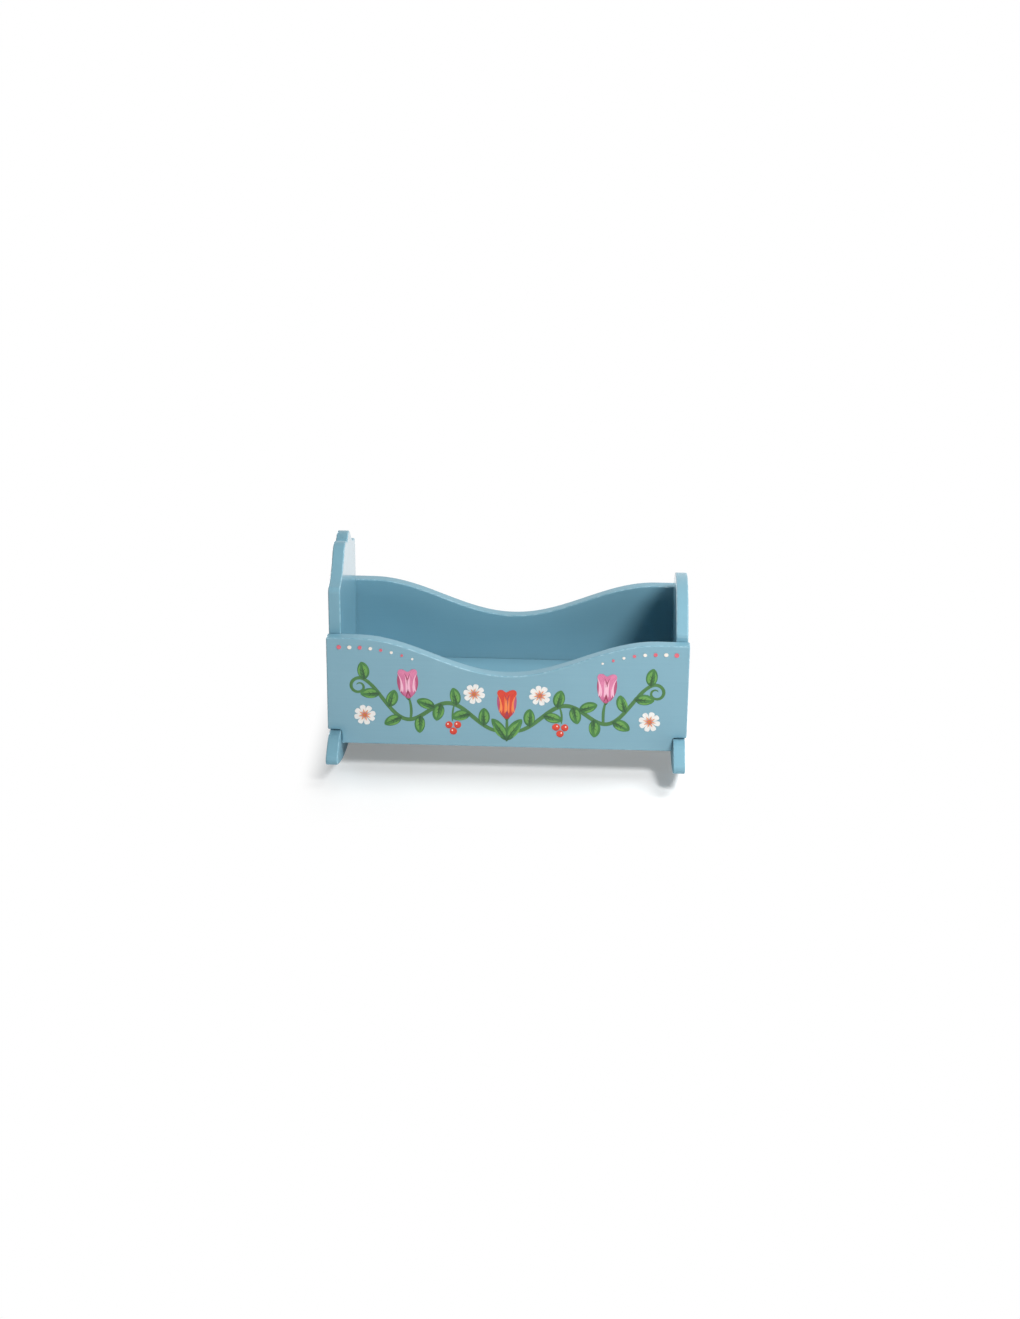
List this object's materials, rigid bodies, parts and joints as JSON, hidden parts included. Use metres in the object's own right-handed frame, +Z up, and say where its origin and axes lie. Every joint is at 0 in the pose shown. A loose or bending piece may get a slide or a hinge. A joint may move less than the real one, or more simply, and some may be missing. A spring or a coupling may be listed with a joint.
{
  "type": "doll cradle",
  "caption": "Wooden rocking cradle for a doll: waved side panels, headboard with a two-lobed crest, arched footboard, end boards with rocker feet, and a flat bottom.",
  "frame": {"origin": "centre of the cradle's footprint on the floor, midway between the two rockers and level with their lowest flats", "axes": "+X from headboard to footboard along the cradle, +Z up, -Y out of the painted front side panel; it rocks about the X direction"},
  "size_m": [0.45, 0.312, 0.2745],
  "materials": {
    "blue_paint": "satin paint in a dusty sky blue, brushed and lightly stippled, over smooth board",
    "decor_paint": "hand-painted flowers and leaves in satin craft paint, on the front side panel only",
    "pine": "bare planed pine",
    "beech": "bare turned beech",
    "zinc": "bright zinc plate"
  },
  "bodies": {
    "root": {"headboard": "blue_paint", "footboard": "blue_paint", "front_side_panel": "blue_paint", "back_side_panel": "blue_paint", "bottom_board": "blue_paint", "front_cleat": "pine", "back_cleat": "pine", "head_cleat": "pine", "foot_cleat": "pine", "dowel_head_front_1": "beech", "dowel_head_front_2": "beech", "dowel_head_front_3": "beech", "dowel_head_back_1": "beech", "dowel_head_back_2": "beech", "dowel_head_back_3": "beech", "dowel_foot_front_1": "beech", "dowel_foot_front_2": "beech", "dowel_foot_front_3": "beech", "dowel_foot_back_1": "beech", "dowel_foot_back_2": "beech", "dowel_foot_back_3": "beech", "front_cleat_screw_1": "zinc", "front_cleat_screw_2": "zinc", "front_cleat_screw_3": "zinc", "front_bottom_screw_1": "zinc", "front_bottom_screw_2": "zinc", "back_cleat_screw_1": "zinc", "back_cleat_screw_2": "zinc", "back_cleat_screw_3": "zinc", "back_bottom_screw_1": "zinc", "back_bottom_screw_2": "zinc", "head_cleat_screw_1": "zinc", "head_cleat_screw_2": "zinc", "foot_cleat_screw_1": "zinc", "foot_cleat_screw_2": "zinc"}
  },
  "joints": []
}
